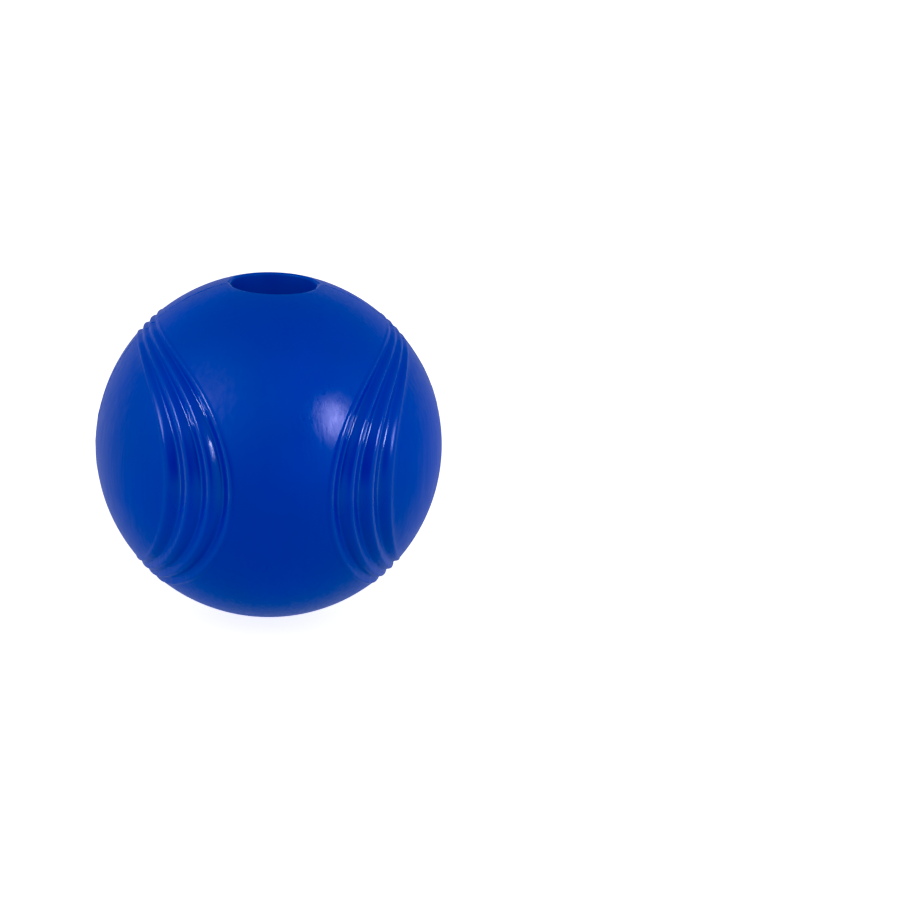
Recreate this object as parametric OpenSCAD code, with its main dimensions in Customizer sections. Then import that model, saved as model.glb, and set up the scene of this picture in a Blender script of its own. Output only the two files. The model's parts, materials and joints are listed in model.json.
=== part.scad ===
// Dryer ball: a hollow rubber ball with a round mouth in its top and two groups of curved grooves.
// It is two identical moulded half shells, bonded together on an upright seam that crosses the mouth.
// The origin is the centre of the ball, +Z points out of the mouth, and the seam lies in the XZ plane.

/* [Ball] */
// Outside diameter of the ball
ball_d = 65; // [58:0.5:90]
// Thickness of the rubber wall
wall = 6; // [4:0.5:9]

/* [Mouth] */
// Diameter of the round mouth in the top
mouth_d = 16; // [10:0.5:20]
// Radius on the outer edge of the mouth
mouth_edge_r = 0.5; // [0.2:0.1:1]

/* [Grooves] */
// Number of grooves in each of the two groups
groove_count = 3; // [1:1:3]
// Distance from the middle of the ball to the first groove, at mid height
groove_first_x = 10.4; // [8:0.1:12.5]
// Distance from one groove to the next, at mid height
groove_pitch_x = 3.8; // [3.2:0.1:4.6]
// Width of a groove at mid height
groove_w = 2.0; // [1.4:0.1:3.1]
// Depth of a groove at the middle of its half shell
groove_depth = 1.1; // [0.4:0.05:1.2]
// Angle between the mouth's axis and the place where the first groove crosses the seam
groove_first_angle = 42.5; // [36:0.5:50]
// Angle from one groove to the next, where they cross the seam
groove_pitch_angle = 3; // [2.4:0.1:3.6]
// Width of a groove where it crosses the seam
groove_seam_w = 0.9; // [0.6:0.05:1.3]
// Depth of a groove where it crosses the seam
groove_seam_depth = 0.35; // [0.1:0.05:0.5]

/* [Seam] */
// Thickness of the bonded layer between the half shells
bond_t = 0.3; // [0.2:0.05:0.6]
// Height of the moulding flash that stands out along the seam
flash_h = 0.15; // [0.05:0.05:0.4]

/* [Hidden] */
$fn = 128;
rubber_blue = [0.00, 0.20, 0.68];
bond_blue = [0.05, 0.26, 0.74];

ball_r = ball_d / 2;
cavity_r = ball_r - wall;
mouth_r = mouth_d / 2;
// How far a cutter reaches past what it cuts
over = 2;
reach = ball_r + over;

// The rounded mouth edge is an arc that touches the bore inside and the ball outside
mouth_arc_x = mouth_r + mouth_edge_r;
mouth_arc_z = sqrt(pow(ball_r - mouth_edge_r, 2) - pow(mouth_arc_x, 2));
arc_to_ball = ball_r / (ball_r - mouth_edge_r);

// The groove floor is a sphere a little off centre, so a groove grows shallower towards the seam
floor_mid_r = ball_r - groove_depth;
floor_seam_r = ball_r - groove_seam_depth;
floor_shift = (pow(floor_seam_r, 2) - pow(floor_mid_r, 2)) / (2 * floor_mid_r);
floor_r = floor_mid_r + floor_shift;

// Where an edge of groove i runs: edge is -1 for its inner edge and 1 for its outer edge
function edge_x(i, edge) = groove_first_x + i * groove_pitch_x + edge * groove_w / 2;
function edge_angle(i, edge) =
    groove_first_angle + i * groove_pitch_angle + edge * asin(groove_seam_w / 2 / ball_r);

// The upright arc through that edge's mid-height point and its two seam points
function seam_dx(i, edge) = ball_r * sin(edge_angle(i, edge)) - edge_x(i, edge);
function seam_z(i, edge) = ball_r * cos(edge_angle(i, edge));
function arc_r(i, edge) =
    (pow(seam_dx(i, edge), 2) + pow(seam_z(i, edge), 2)) / (2 * seam_dx(i, edge));

// The outline beyond one edge of a groove, seen from the front
module beyond_edge(i, edge) {
    translate([edge_x(i, edge) + arc_r(i, edge), 0])
        circle(r = arc_r(i, edge));
}

// The outline of all the grooves of both groups, seen from the front
module groove_outlines() {
    for (group = [0, 180], i = [0 : groove_count - 1])
        rotate(group)
            difference() {
                beyond_edge(i, -1);
                beyond_edge(i, 1);
            }
}

// A flat outline in the seam's plane made into a solid, the same distance to the front and the rear
module through_seam(thickness) {
    rotate([90, 0, 0])
        linear_extrude(height = thickness, center = true)
            children();
}

// The bore of the mouth, with the rounded edge at its outer end
module mouth() {
    cylinder(r = mouth_r, h = reach);
    rotate_extrude()
        difference() {
            polygon([
                [mouth_r - mouth_edge_r, mouth_arc_z],
                [mouth_arc_x, mouth_arc_z],
                [mouth_arc_x * arc_to_ball, mouth_arc_z * arc_to_ball],
                [mouth_arc_x * arc_to_ball, reach],
                [mouth_r - mouth_edge_r, reach]
            ]);
            translate([mouth_arc_x, mouth_arc_z])
                circle(r = mouth_edge_r);
        }
}

// One moulded half shell, on the -Y side of the seam
module half_shell() {
    difference() {
        intersection() {
            sphere(r = ball_r);
            translate([-reach, -reach - bond_t / 2, -reach])
                cube([2 * reach, reach, 2 * reach]);
        }
        sphere(r = cavity_r);
        mouth();
        difference() {
            through_seam(2 * reach)
                groove_outlines();
            translate([0, floor_shift, 0])
                sphere(r = floor_r);
        }
    }
}

module front_half_shell() {
    color(rubber_blue)
        half_shell();
}

// The same moulding, turned round
module rear_half_shell() {
    color(rubber_blue)
        rotate([0, 0, 180])
            half_shell();
}

// The bonded layer between the half shells, with the flash that stands out of the ball
module seam_bond() {
    color(bond_blue)
        difference() {
            through_seam(bond_t)
                difference() {
                    circle(r = ball_r + flash_h);
                    circle(r = cavity_r);
                    difference() {
                        groove_outlines();
                        circle(r = floor_seam_r);
                    }
                }
            mouth();
        }
}

front_half_shell();
rear_half_shell();
seam_bond();
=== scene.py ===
"""A hollow rubber dryer ball: two moulded half shells bonded on an upright seam that crosses the mouth."""

import json
import math

import bpy
from mathutils import Euler, Matrix, Vector


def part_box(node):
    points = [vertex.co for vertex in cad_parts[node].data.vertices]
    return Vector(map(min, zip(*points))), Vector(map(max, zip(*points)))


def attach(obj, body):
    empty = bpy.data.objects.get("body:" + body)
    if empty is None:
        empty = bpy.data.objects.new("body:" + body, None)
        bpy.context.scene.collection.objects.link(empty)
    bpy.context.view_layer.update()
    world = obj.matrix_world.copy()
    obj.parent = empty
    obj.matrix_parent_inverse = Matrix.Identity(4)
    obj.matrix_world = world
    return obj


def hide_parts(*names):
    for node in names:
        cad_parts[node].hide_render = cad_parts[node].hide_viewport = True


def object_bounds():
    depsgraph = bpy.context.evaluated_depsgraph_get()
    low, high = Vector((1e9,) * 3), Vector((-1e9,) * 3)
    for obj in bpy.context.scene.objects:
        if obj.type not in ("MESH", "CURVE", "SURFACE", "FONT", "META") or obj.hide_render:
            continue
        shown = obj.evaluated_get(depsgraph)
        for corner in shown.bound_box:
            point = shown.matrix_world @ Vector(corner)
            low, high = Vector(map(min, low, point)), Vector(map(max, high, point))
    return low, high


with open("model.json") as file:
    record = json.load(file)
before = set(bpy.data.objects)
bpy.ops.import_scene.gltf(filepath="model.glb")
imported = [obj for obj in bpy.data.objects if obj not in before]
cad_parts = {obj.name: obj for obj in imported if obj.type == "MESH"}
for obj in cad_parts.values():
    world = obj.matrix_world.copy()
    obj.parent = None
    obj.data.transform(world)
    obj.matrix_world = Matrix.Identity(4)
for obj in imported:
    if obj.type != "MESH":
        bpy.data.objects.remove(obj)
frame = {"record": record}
cad_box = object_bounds()


# ---- Front half shell ----
# One half of the hollow ball, press moulded in solid blue rubber with a 6 mm wall. Half of the mouth
# and the front half of all six grooves are moulded in. Its flat rim is roughened and bonded to the
# rear half with rubber cement. The grooves keep their gloss, and tumbling has dulled the rest.

BALL_R = -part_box("front_half_shell")[0].z
HALF_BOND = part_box("seam_bond")[1].y
MOUTH = next(mount for mount in frame["record"]["mounts"] if mount["name"] == "mouth")

SHELL_SIZES = {
    "Ball radius": BALL_R,
    "Wall": 0.006,
    "Mouth radius": MOUTH["dims"]["r_mm"] / 1000,
    "Mouth edge radius": 0.0005,
    "Half bond": HALF_BOND,
    "Seam edge radius": 0.00012,
    "Groove depth": 0.0012,
    "Groove depth at seam": 0.00035,
    "Ridge height": 0.00015,
    "Right group shift": 0.0005,
    "Waviness": 0.00006,
}

# The grooves' section and where they run. A sharpness near 1 gives straight walls, a bottom sharpness
# under 1 makes the bottoms narrower than the ridges, and with a depth curve over 1 a groove deepens
# more slowly as it leaves the seam.
GROOVE_COUNT = 3
GROOVE_SHARPNESS = 0.6
GROOVE_BOTTOM_SHARPNESS = 0.88
GROOVE_DEPTH_CURVE = 1.3
GROOVE_FIRST_X = 0.0104
GROOVE_PITCH_X = 0.0038
GROOVE_FIRST_ANGLE = math.radians(42.5)
GROOVE_PITCH_ANGLE = math.radians(3)
GROOVE_LAST_X = GROOVE_FIRST_X + (GROOVE_COUNT - 1) * GROOVE_PITCH_X
RIDGE_FALL = 0.0009
GROUP_MARGIN = GROOVE_PITCH_X / 2 + RIDGE_FALL

# The waviness: how fine it is, and how far from the seam and the mouth it reaches its full height
LUMPS_PER_METRE = 70
CALM_BY_SEAM = 0.006
CALM_BY_MOUTH = 0.004

# The mesh is drawn as lines that run with the grooves, from the bottom of the seam up to its top.
# These are the numbers of lines, counted from the middle of the ball out to one side.
MOUTH_LINES = 16
LAND_LINES = 22
GROUP_LINES = 110
SIDE_LINES = 30

# And these are the numbers of rows across them: up the outside, over the top edge, down the inside,
# and back over the bottom edge. The two edges have unequal numbers, so at mid height on the flat rim
# their points don't meet, and a hairline gap is left inside the joint.
OUTSIDE_ROWS = 156
TOP_EDGE_ROWS = 12
INSIDE_ROWS = 44
BOTTOM_EDGE_ROWS = 8


class Value:
    """A socket in a node tree. Arithmetic on values adds Math nodes; node() adds any other node."""

    def __init__(self, tree, socket):
        self.tree = tree
        self.socket = socket

    def node(self, kind, settings=None, sockets=None, result=0):
        made = self.tree.nodes.new(kind)
        for name, setting in (settings or {}).items():
            setattr(made, name, setting)
        for name, given in (sockets or {}).items():
            if isinstance(given, Value):
                self.tree.links.new(given.socket, made.inputs[name])
            else:
                made.inputs[name].default_value = given
        return Value(self.tree, made.outputs[result])

    def math(self, operation, *given):
        return self.node("ShaderNodeMath", {"operation": operation}, dict(enumerate(given)))

    def __add__(self, other):
        return self.math("ADD", self, other)

    def __radd__(self, other):
        return self.math("ADD", other, self)

    def __sub__(self, other):
        return self.math("SUBTRACT", self, other)

    def __rsub__(self, other):
        return self.math("SUBTRACT", other, self)

    def __mul__(self, other):
        return self.math("MULTIPLY", self, other)

    def __rmul__(self, other):
        return self.math("MULTIPLY", other, self)

    def __truediv__(self, other):
        return self.math("DIVIDE", self, other)

    def __rtruediv__(self, other):
        return self.math("DIVIDE", other, self)

    def __neg__(self):
        return self.math("MULTIPLY", self, -1)

    def __abs__(self):
        return self.math("ABSOLUTE", self)

    def root(self):
        return self.math("SQRT", self)

    def sine(self):
        return self.math("SINE", self)

    def cosine(self):
        return self.math("COSINE", self)

    def arcsine(self):
        return self.math("ARCSINE", self)

    def arccosine(self):
        return self.math("ARCCOSINE", self)

    def ramp(self, start, end, smooth=False):
        """0 up to start and 1 from end on, in a straight or a smooth rise."""
        return self.node(
            "ShaderNodeMapRange",
            {"interpolation_type": "SMOOTHSTEP" if smooth else "LINEAR"},
            {"Value": self, "From Min": start, "From Max": end},
        )

    def towards(self, other, share):
        """This value at share 0, and the other at share 1."""
        return self + (other - self) * share


def point(x, y, z):
    return x.node("ShaderNodeCombineXYZ", {}, {"X": x, "Y": y, "Z": z})


def parts_of(vector):
    split = vector.node("ShaderNodeSeparateXYZ", {}, {"Vector": vector})
    return [Value(vector.tree, split.socket.node.outputs[axis]) for axis in "XYZ"]


def new_tree(name, sizes):
    """A Geometry Nodes tree with one named input for each size, and those inputs as values."""
    tree = bpy.data.node_groups.new(name, "GeometryNodeTree")
    for size in sizes:
        tree.interface.new_socket(size, in_out="INPUT", socket_type="NodeSocketFloat")
    tree.interface.new_socket("Mesh", in_out="OUTPUT", socket_type="NodeSocketGeometry")
    inputs = tree.nodes.new("NodeGroupInput")
    return [Value(tree, inputs.outputs[size]) for size in sizes]


def sheet_of_lines(start, lines, rows):
    """A flat sheet of lines by rows, one unit apart, with each point's line and row as values."""
    sheet = start.node(
        "GeometryNodeMeshGrid",
        {},
        {"Size X": lines, "Size Y": rows, "Vertices X": lines + 1, "Vertices Y": rows + 1},
    )
    line, row, _ = parts_of(start.node("GeometryNodeInputPosition"))
    return sheet, line, row + rows / 2


def close_and_finish(sheet, place, marks, material, join=0.000002):
    """Bends the sheet into its place, joins the edges that meet, and gives it a material."""
    for name, mark in marks.items():
        sheet = sheet.node(
            "GeometryNodeStoreNamedAttribute",
            {"data_type": "FLOAT", "domain": "POINT"},
            {"Geometry": sheet, "Name": name, "Value": mark},
        )
    bent = sheet.node("GeometryNodeSetPosition", {}, {"Geometry": sheet, "Position": place})
    joined = bent.node("GeometryNodeMergeByDistance", {}, {"Geometry": bent, "Distance": join})
    smooth = joined.node("GeometryNodeSetShadeSmooth", {}, {"Geometry": joined})
    real = smooth.node("GeometryNodeRealizeInstances", {}, {"Geometry": smooth})
    done = real.node("GeometryNodeSetMaterial", {}, {"Geometry": real, "Material": material})
    output = done.tree.nodes.new("NodeGroupOutput")
    done.tree.links.new(done.socket, output.inputs["Mesh"])


def made_by(name, tree, sizes, crease=math.radians(35)):
    """Runs a tree with these sizes, and returns the result as a plain mesh object."""
    piece = bpy.data.objects.new(name, bpy.data.meshes.new(name))
    bpy.context.scene.collection.objects.link(piece)
    modifier = piece.modifiers.new("Shape", "NODES")
    modifier.node_group = tree
    for item in tree.interface.items_tree:
        if item.in_out == "INPUT":
            modifier[item.identifier] = sizes[item.name]
    evaluated = piece.evaluated_get(bpy.context.evaluated_depsgraph_get())
    mesh = bpy.data.meshes.new_from_object(evaluated)
    piece.modifiers.clear()
    piece.data = mesh
    mesh.name = name
    mesh.set_sharp_from_angle(angle=crease)
    return piece


def groove_hollow(across):
    """1 at the bottom of a groove and 0 on a ridge or beyond, from the offset across at mid height."""
    from_first = (across - GROOVE_FIRST_X) / GROOVE_PITCH_X
    number = from_first.node(
        "ShaderNodeClamp",
        {},
        {"Value": from_first.math("ROUND", from_first), "Min": 0, "Max": GROOVE_COUNT - 1},
    )
    share = abs(from_first - number).ramp(0, 0.5)
    share = share.math("POWER", share, GROOVE_BOTTOM_SHARPNESS)
    straightened = ((share * math.pi).cosine() * GROOVE_SHARPNESS).arcsine()
    return straightened / (2 * math.asin(GROOVE_SHARPNESS)) + 0.5


def groove_band(across):
    """1 over a group of grooves and their ridges, falling to 0 just beyond the two outer ridges."""
    middle = (GROOVE_FIRST_X + GROOVE_LAST_X) / 2
    beyond = abs(across - middle) - GROOVE_COUNT * GROOVE_PITCH_X / 2
    return 1 - beyond.ramp(0, RIDGE_FALL, smooth=True)


def sphere_line(radius, rim_radius, angle, offset, top, climb):
    """A point on a sphere, on the line through offset at mid height that meets the rim at angle."""
    side = rim_radius * angle.sine()
    end = rim_radius * angle.cosine()
    bow = side - offset
    bend = 2 * bow / (bow * bow + end * end)
    last = (top / end).math("MINIMUM", top / end, 1).arcsine()
    z = end * (climb * (last + math.pi / 2) - math.pi / 2).sine()
    x = offset + z * z * bend / (1 + (1 - z * z * bend * bend).root())
    y = -(radius * radius - x * x - z * z).root()
    return x, y, z


# How rough the rubber is down in the grooves, and the spot on the front that wear has polished
GROOVE_ROUGHNESS = 0.11
SKIN_ROUGHNESS = 0.09
POLISHED_SPOT = (0.0095, -0.0275, 0.0145)
POLISHED_R = 0.005
POLISH_FADES_AT = 0.013
POLISH = 0.33
SCUFF_DEPTH = 0.00003


def rubber(name, colour, roughness):
    """Moulded rubber, dulled and streaked by tumbling, but not down in the grooves."""
    material = bpy.data.materials.new(name)
    material.use_nodes = True
    tree = material.node_tree
    shader = tree.nodes["Principled BSDF"]
    shader.inputs["Specular IOR Level"].default_value = 1.0
    shader.inputs["Specular Tint"].default_value = (0.5, 0.5, 1, 1)
    place = Value(tree, tree.nodes.new("ShaderNodeTexCoord").outputs["Object"])

    def noise(stretch, scale, detail=3):
        stretched = place.node("ShaderNodeMapping", {}, {"Vector": place, "Scale": stretch})
        return stretched.node(
            "ShaderNodeTexNoise", {}, {"Vector": stretched, "Scale": scale, "Detail": detail}
        )

    cloud = noise((1, 1, 1), 45)
    streak = noise((1, 1, 0.06), 1300)
    grain = noise((1, 1, 0.3), 2600, 2)

    # A little darker in patches. Sockets 6 and 7 of a Mix node are its two colours.
    tone = cloud.ramp(0.3, 0.7, smooth=True)
    dark = tuple(0.86 * channel for channel in colour) + (1,)
    mixed = tone.node(
        "ShaderNodeMix",
        {"data_type": "RGBA"},
        {"Factor": tone, 6: dark, 7: (*colour, 1)},
        result=2,
    )
    tree.links.new(mixed.socket, shader.inputs["Base Color"])

    # Dull where it rubs, smooth in the grooves, and with the mould's glossy skin left at their bottoms
    sheltered = place.node("ShaderNodeAttribute", {"attribute_name": "sheltered"}, {}, result=2)
    spot = place.node("ShaderNodeVectorMath", {"operation": "DISTANCE"}, {0: place, 1: POLISHED_SPOT}, 1)
    polished = 1 - spot.ramp(POLISHED_R, POLISH_FADES_AT, smooth=True)
    rubbed = roughness - POLISH * polished + (streak - 0.5) * 0.2 + (cloud - 0.5) * 0.12
    smoothed = rubbed.towards(GROOVE_ROUGHNESS, sheltered)
    skin = 0.9 * sheltered.ramp(0.65, 1)
    tree.links.new(smoothed.socket, shader.inputs["Roughness"])
    tree.links.new(skin.socket, shader.inputs["Coat Weight"])
    shader.inputs["Coat Roughness"].default_value = SKIN_ROUGHNESS

    # Fine scratches that run up and down, faint in the grooves
    height = streak * 0.95 + grain * 0.05
    bump = height.node(
        "ShaderNodeBump",
        {},
        {"Height": height, "Distance": SCUFF_DEPTH, "Strength": 0.85 * (1 - 0.7 * sheltered)},
    )
    tree.links.new(bump.socket, shader.inputs["Normal"])
    return material


blue_rubber = rubber("blue_rubber", (0.0, 0.03, 0.76), 0.6)


def half_shell_tree():
    """The wall of one half shell, as one sheet wrapped round its outside, rim, inside and rim again."""
    sizes = new_tree("Half shell", SHELL_SIZES)
    ball_r, wall, mouth_r, mouth_edge, half_bond, seam_edge = sizes[:6]
    depth, seam_depth, ridge, right_shift, wave = sizes[6:]
    side_end = MOUTH_LINES + 1 + LAND_LINES + GROUP_LINES + SIDE_LINES
    top_edge = OUTSIDE_ROWS + TOP_EDGE_ROWS
    inside_end = top_edge + INSIDE_ROWS
    sheet, line, row = sheet_of_lines(ball_r, 2 * side_end, inside_end + BOTTOM_EDGE_ROWS)
    side = line.math("SIGN", line)
    count = abs(line)

    # The rims of the outside and of the inside, at the seam and at the mouth
    hollow_r = ball_r - wall
    rim_y = half_bond + seam_edge
    rim_r = (ball_r * ball_r - rim_y * rim_y).root()
    hollow_rim_r = (hollow_r * hollow_r - half_bond * half_bond).root()
    edge_x = mouth_r + mouth_edge
    edge_z = ((ball_r - mouth_edge) * (ball_r - mouth_edge) - edge_x * edge_x).root()
    mouth_top = edge_z * ball_r / (ball_r - mouth_edge)
    mouth_bottom = (hollow_r * hollow_r - mouth_r * mouth_r).root()
    mouth_angle = (mouth_top / rim_r).arccosine()
    hollow_mouth_angle = (mouth_bottom / hollow_rim_r).arccosine()

    # Where each line runs: its offset at mid height, and its angle from the mouth's axis at the seam
    group_x = (GROOVE_FIRST_X - GROUP_MARGIN, GROOVE_LAST_X + GROUP_MARGIN)
    group_angle = [
        GROOVE_FIRST_ANGLE + (x - GROOVE_FIRST_X) / GROOVE_PITCH_X * GROOVE_PITCH_ANGLE for x in group_x
    ]
    land_start = MOUTH_LINES + 1
    group_start = land_start + LAND_LINES
    group_end = group_start + GROUP_LINES
    over_mouth = count.ramp(0, MOUTH_LINES)
    over_land = count.ramp(land_start, group_start)
    over_group = count.ramp(group_start, group_end)
    over_side = count.ramp(group_end, side_end)
    mouth_x = mouth_angle * (group_x[0] / group_angle[0])
    turn = (group_x[1] / rim_r).arcsine()
    offset = mouth_x * over_mouth + (group_x[0] - mouth_x) * over_land
    offset = offset + (group_x[1] - group_x[0]) * over_group
    offset = offset + rim_r * turn.towards(math.pi / 2, over_side).sine() - group_x[1]
    angle = mouth_angle * over_mouth + (group_angle[0] - mouth_angle) * over_land
    angle = angle + (group_angle[1] - group_angle[0]) * over_group
    angle = angle + (math.pi / 2 - group_angle[1]) * over_side
    hollow_angle = hollow_mouth_angle * angle.ramp(0, mouth_angle)
    hollow_angle = hollow_angle + (math.pi / 2 - hollow_mouth_angle) * angle.ramp(mouth_angle, math.pi / 2)
    hollow_offset = offset * hollow_rim_r * hollow_angle.sine() / (rim_r * angle.sine())

    # The same climb up the outside and the inside, and how far a row is from one to the other
    climb = row.ramp(0, OUTSIDE_ROWS) - row.ramp(inside_end - 1, inside_end)
    hollow_climb = 1 - row.ramp(top_edge, inside_end)
    inward = row.ramp(OUTSIDE_ROWS, top_edge) - row.ramp(inside_end, inside_end + BOTTOM_EDGE_ROWS)
    out_x, out_y, out_z = sphere_line(ball_r, rim_r, angle, offset, mouth_top, climb)
    in_x, in_y, in_z = sphere_line(
        hollow_r, hollow_rim_r, hollow_angle, hollow_offset, mouth_bottom, hollow_climb
    )

    # Across the seam's rim: a small rounding, then straight in to the hollow
    round_turn = inward.ramp(0, 0.5) * (math.pi / 2)
    straight = inward.ramp(0.5, 1)
    seam_reach = (out_x * out_x + out_z * out_z).root()
    drawn_in = 1 + seam_edge * (round_turn.cosine() - 1) / seam_reach
    rim_x = (out_x * drawn_in).towards(in_x, straight)
    rim_z = (out_z * drawn_in).towards(in_z, straight)
    seam_y = out_y.towards(-half_bond, round_turn.sine()).towards(in_y, straight)

    # Across the mouth's rim: its rounded edge, then the bore down to the hollow
    edge_start = (edge_z / (ball_r - mouth_edge)).arcsine()
    edge_turn = edge_start.towards(math.pi, inward.ramp(0, 2 / 3))
    down = inward.ramp(2 / 3, 1)
    bore_x = out_x.towards(in_x, down)
    bore_y = out_y.towards(in_y, down)
    bore_r = (edge_x + mouth_edge * edge_turn.cosine()) / (bore_x * bore_x + bore_y * bore_y).root()
    bore_z = (edge_z + mouth_edge * edge_turn.sine()).towards(in_z, down)

    at_top = 1 - row.ramp(top_edge, top_edge + 1)
    at_mouth = (1 - count.ramp(MOUTH_LINES, land_start)) * at_top.math("CEIL", at_top)
    at_mouth = at_mouth * inward.math("CEIL", inward)
    x = rim_x.towards(bore_x * bore_r, at_mouth)
    y = seam_y.towards(bore_y * bore_r, at_mouth)
    z = rim_z.towards(bore_z, at_mouth)

    # Grooves, the ridges that stand a little proud of the ball, and the waviness of moulded rubber
    outside = 1 - straight
    from_rim = -y / ball_r
    across = offset - right_shift * from_rim * (side + 1) / 2
    hollow = groove_hollow(across)
    deepening = from_rim.math("POWER", from_rim, GROOVE_DEPTH_CURVE)
    groove = seam_depth.towards(depth, deepening) * hollow
    band = groove_band(across)
    here = point(x * side, y, z)
    lumps = here.node("ShaderNodeTexNoise", {}, {"Vector": here, "Scale": LUMPS_PER_METRE, "Detail": 1.0})
    from_seam = (-y).ramp(half_bond, CALM_BY_SEAM, smooth=True)
    from_mouth = (mouth_top - z).ramp(0, CALM_BY_MOUTH, smooth=True)
    sunk = groove + (wave * lumps - ridge * band) * from_seam * from_mouth
    shrink = 1 - sunk * outside / ball_r
    place = here.node("ShaderNodeVectorMath", {"operation": "SCALE"}, {0: here, "Scale": shrink})

    # Rubbing can't reach down into the grooves, but it has dulled them near the seam and low down
    near_seam = 1 - from_rim.ramp(0.4, 0.85, smooth=True)
    low_down = 0.9 * (-z).ramp(0, 0.4 * BALL_R)
    sheltered = band * outside * (1 - near_seam) * (1 - low_down) * (0.75 + 0.25 * hollow)
    close_and_finish(sheet, place, {"sheltered": sheltered}, blue_rubber)
    return place.tree


half_shell = half_shell_tree()
front_half = made_by("front_half", half_shell, SHELL_SIZES)
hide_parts("front_half_shell")
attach(front_half, "root")


# ---- Rear half shell ----
# The second half of the ball, of the same blue rubber and from the same mould. It is turned half a turn
# about the mouth's axis, so that the two flat rims meet, and bonded to the front half.

rear_half = bpy.data.objects.new("rear_half", front_half.data.copy())
bpy.context.scene.collection.objects.link(rear_half)
rear_half.data.name = "rear_half"
rear_half.data.transform(Matrix.Rotation(math.pi, 4, "Z"))
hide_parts("rear_half_shell")
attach(rear_half, "root")


# ---- Seam bond ----
# Rubber cement, pressed and cured in the seam between the two flat rims: a 0.3 mm layer as deep as the
# wall. It runs right round the ball from one side of the mouth to the other, follows the bottoms of
# the grooves, and was squeezed out into a low uneven bead along the outside.

BOND_SIZES = {
    "Ball radius": BALL_R,
    "Wall": SHELL_SIZES["Wall"],
    "Mouth radius": SHELL_SIZES["Mouth radius"],
    "Mouth edge radius": SHELL_SIZES["Mouth edge radius"],
    "Half bond": HALF_BOND,
    "Groove depth at seam": SHELL_SIZES["Groove depth at seam"],
    "Bead height": 0.00015,
}

# Lines from the bottom of the ball up to one side of the mouth, and rows round the layer's section
RING_LINES = 800
MOUTH_FACE_ROWS = 8
BEAD_ROWS = 8

bond_rubber = rubber("bond_rubber", (0.004, 0.045, 0.8), 0.42)


def seam_bond_tree():
    """The layer in the seam, as one sheet wrapped round its inner edge, two faces and outer bead."""
    ball_r, wall, mouth_r, mouth_edge, half_bond, seam_depth, bead = new_tree("Seam bond", BOND_SIZES)
    bead_start = 1 + MOUTH_FACE_ROWS
    bead_end = bead_start + BEAD_ROWS
    rows = bead_end + MOUTH_FACE_ROWS
    sheet, line, row = sheet_of_lines(ball_r, 2 * (RING_LINES + 1), rows)
    side = line.math("SIGN", line)
    count = abs(line)

    # The layer's end in the mouth: up the bore, then round the mouth's edge
    hollow_r = ball_r - wall
    edge_x = mouth_r + mouth_edge
    edge_z = ((ball_r - mouth_edge) * (ball_r - mouth_edge) - edge_x * edge_x).root()
    mouth_bottom = (hollow_r * hollow_r - mouth_r * mouth_r).root()
    outward = row.ramp(1, bead_start) - row.ramp(bead_end, rows)
    edge_end = (edge_z / (ball_r - mouth_edge)).arcsine()
    edge_turn = edge_end + (math.pi - edge_end) * (1 - outward.ramp(0.5, 1))
    end_x = edge_x + mouth_edge * edge_turn.cosine()
    end_z = mouth_bottom.towards(edge_z, outward.ramp(0, 0.5)) + mouth_edge * edge_turn.sine()
    end_r = (end_x * end_x + end_z * end_z).root()
    end_angle = (end_z / end_r).arccosine()

    # Round the ball, sunk where a groove crosses the seam, with the bead on top
    angle = math.pi + (end_angle - math.pi) * count.ramp(0, RING_LINES)
    across = GROOVE_FIRST_X + (angle - GROOVE_FIRST_ANGLE) * (GROOVE_PITCH_X / GROOVE_PITCH_ANGLE)
    sunk = seam_depth * groove_hollow(across)
    bead_turn = row.ramp(bead_start, bead_end) * math.pi
    along = point(angle.sine() * side, angle.cosine(), 0)
    lumps = along.node("ShaderNodeTexNoise", {}, {"Vector": along, "Scale": 14.0, "Detail": 4.0})
    bead_h = bead * lumps.ramp(0.25, 0.75).towards(0.35, 0.4) * (RING_LINES - count).ramp(0, 8)
    radius = hollow_r + (end_r - hollow_r) * (1 - sunk / wall) + bead_h * bead_turn.sine()
    y = half_bond * (2 * row.ramp(0, 1) - 2 + bead_turn.cosine())
    y = y * (1 - count.ramp(RING_LINES, RING_LINES + 1))
    place = point(radius * angle.sine() * side, y, radius * angle.cosine())
    close_and_finish(sheet, place, {}, bond_rubber)
    return place.tree


bond = made_by("bond", seam_bond_tree(), BOND_SIZES)
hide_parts("seam_bond")
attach(bond, "root")


# ---- Floor ----
# A plain white table with a light under it, so the ball has hardly any shadow. It neither
# lights the ball nor is mirrored in it.

floor_z = cad_box[0][2]
bpy.ops.mesh.primitive_plane_add(size=40, location=(0, 0, floor_z))
floor = bpy.context.object
floor.name = "floor"
floor_paint = bpy.data.materials.new("floor_white")
floor_paint.use_nodes = True
floor_shader = floor_paint.node_tree.nodes["Principled BSDF"]
floor_shader.inputs["Base Color"].default_value = (0.8, 0.8, 0.8, 1)
floor_shader.inputs["Roughness"].default_value = 0.6
floor_shader.inputs["Emission Color"].default_value = (1, 1, 1, 1)
floor_shader.inputs["Emission Strength"].default_value = 0.85
floor.data.materials.append(floor_paint)
floor.visible_diffuse = False
floor.visible_glossy = False


# ---- Camera ----
# A long lens a little above the ball, panned so that the ball stands left of the middle, and rolled
# by a degree and a half.

VIEW_AZIMUTH = math.radians(-3.8)
VIEW_ELEVATION = math.radians(17.7)
VIEW_DISTANCE = 15 * BALL_R
PAN_RIGHT = math.radians(4.0)
PAN_DOWN = math.radians(0.118)
ROLL = math.radians(1.5)
FOCAL_LENGTH_MM = 103.15

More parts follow.
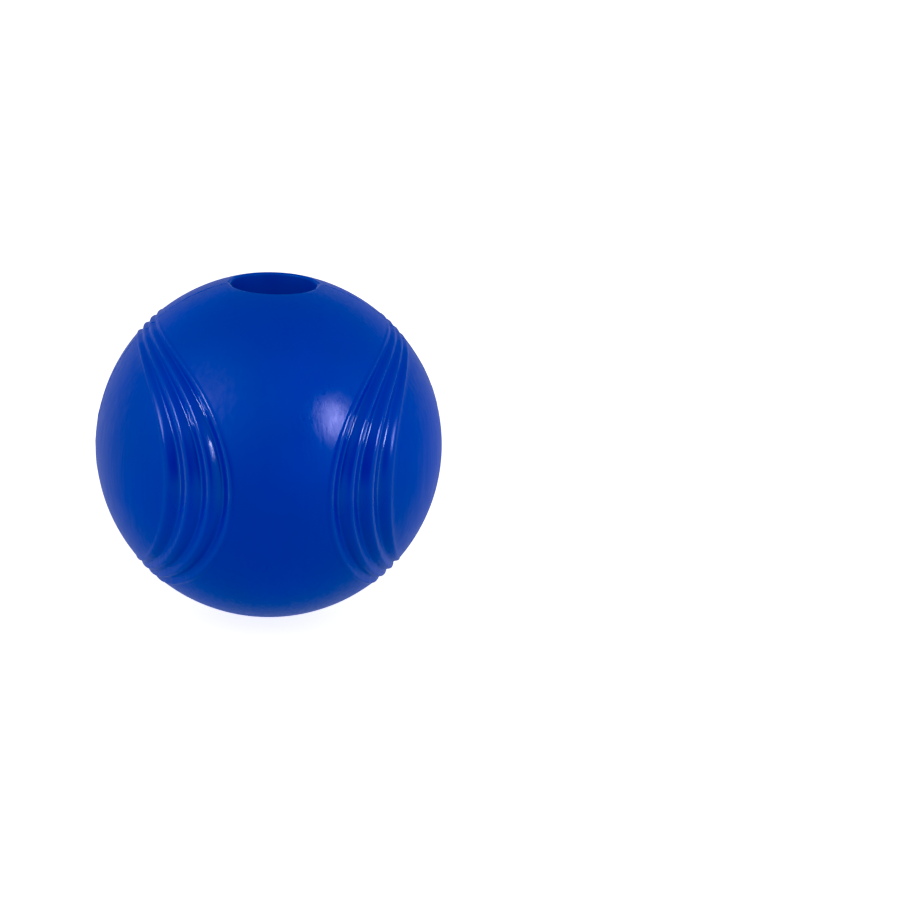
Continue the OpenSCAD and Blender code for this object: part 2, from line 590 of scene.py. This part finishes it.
to_camera = Vector(
    (
        math.sin(VIEW_AZIMUTH) * math.cos(VIEW_ELEVATION),
        -math.cos(VIEW_AZIMUTH) * math.cos(VIEW_ELEVATION),
        math.sin(VIEW_ELEVATION),
    )
)
lens = bpy.data.cameras.new("camera")
lens.lens = FOCAL_LENGTH_MM
lens.sensor_width = 36
camera = bpy.data.objects.new("camera", lens)
bpy.context.scene.collection.objects.link(camera)
aim = to_camera.to_track_quat("Z", "Y").to_matrix()
aim = aim @ Euler((0, 0, ROLL)).to_matrix() @ Euler((-PAN_DOWN, -PAN_RIGHT, 0)).to_matrix()
camera.matrix_world = Matrix.Translation(to_camera * VIEW_DISTANCE) @ aim.to_4x4()
bpy.context.scene.camera = camera


# ---- Studio light ----
# A white room that is darker behind the camera. Two softboxes, a large one to the right and a narrow
# one to the left, make the highlights, and a broad weak light in front fills in the ball's own blue.

ROOM_LIGHT = 0.33
SIDE_WALL_LIGHT = 0.32
FAR_WALL_LIGHT = 2.4
CAMERA_SIDE_DIMMING = 0.95
SOFTBOX_DISTANCE = 0.8

world = bpy.data.worlds.new("studio")
bpy.context.scene.world = world
world.use_nodes = True
background = world.node_tree.nodes["Background"]
toward = Value(world.node_tree, world.node_tree.nodes.new("ShaderNodeTexCoord").outputs["Generated"])
to_right = Vector((math.cos(VIEW_AZIMUTH), math.sin(VIEW_AZIMUTH), 0))
facing = toward.node(
    "ShaderNodeVectorMath", {"operation": "DOT_PRODUCT"}, {0: toward, 1: to_camera}, result=1
)
to_side = toward.node(
    "ShaderNodeVectorMath", {"operation": "DOT_PRODUCT"}, {0: toward, 1: to_right}, result=1
)
walls = ROOM_LIGHT + SIDE_WALL_LIGHT * to_side * to_side
dark_side = CAMERA_SIDE_DIMMING * facing.ramp(0.82, 1.0, smooth=True)
far_wall = FAR_WALL_LIGHT * (-facing).ramp(0.5, 1.0)
room = walls * (1 - dark_side) * (1 + far_wall)

# The camera itself sees the room as plain white: the first output of Light Path is Is Camera Ray
seen = toward.node("ShaderNodeLightPath")
world.node_tree.links.new(room.towards(1, seen).socket, background.inputs["Strength"])
background.inputs["Color"].default_value = (1, 1, 1, 1)


def softbox(name, right_up_near, width, height, power, mirrored):
    """A softbox in a direction given in the camera's own axes, for its reflection or for its light."""
    axes = to_camera.to_track_quat("Z", "Y").to_matrix()
    direction = (axes @ Vector(right_up_near)).normalized()
    light = bpy.data.lights.new(name, "AREA")
    light.shape = "RECTANGLE"
    light.size = width
    light.size_y = height
    light.energy = power
    holder = bpy.data.objects.new(name, light)
    holder.location = direction * SOFTBOX_DISTANCE
    holder.rotation_euler = direction.to_track_quat("Z", "Y").to_euler()
    holder.visible_diffuse = not mirrored
    holder.visible_glossy = mirrored
    bpy.context.scene.collection.objects.link(holder)


softbox("main_softbox", (0.655, 0.27, 0.705), 0.13, 0.23, power=1.35, mirrored=True)
softbox("left_softbox", (-0.62, 0.41, 0.64), 0.04, 0.36, power=2.2, mirrored=True)
softbox("front_fill", (0.0, 0.3, 0.95), 0.5, 0.5, power=1.05, mirrored=False)

# The camera's own colour: a plain transform, in which the strongest blues lose their last trace of red
picture = bpy.context.scene.view_settings
picture.view_transform = "Standard"
picture.use_curve_mapping = True
picture.curve_mapping.black_level = (0.037, 0, 0)
picture.curve_mapping.update()
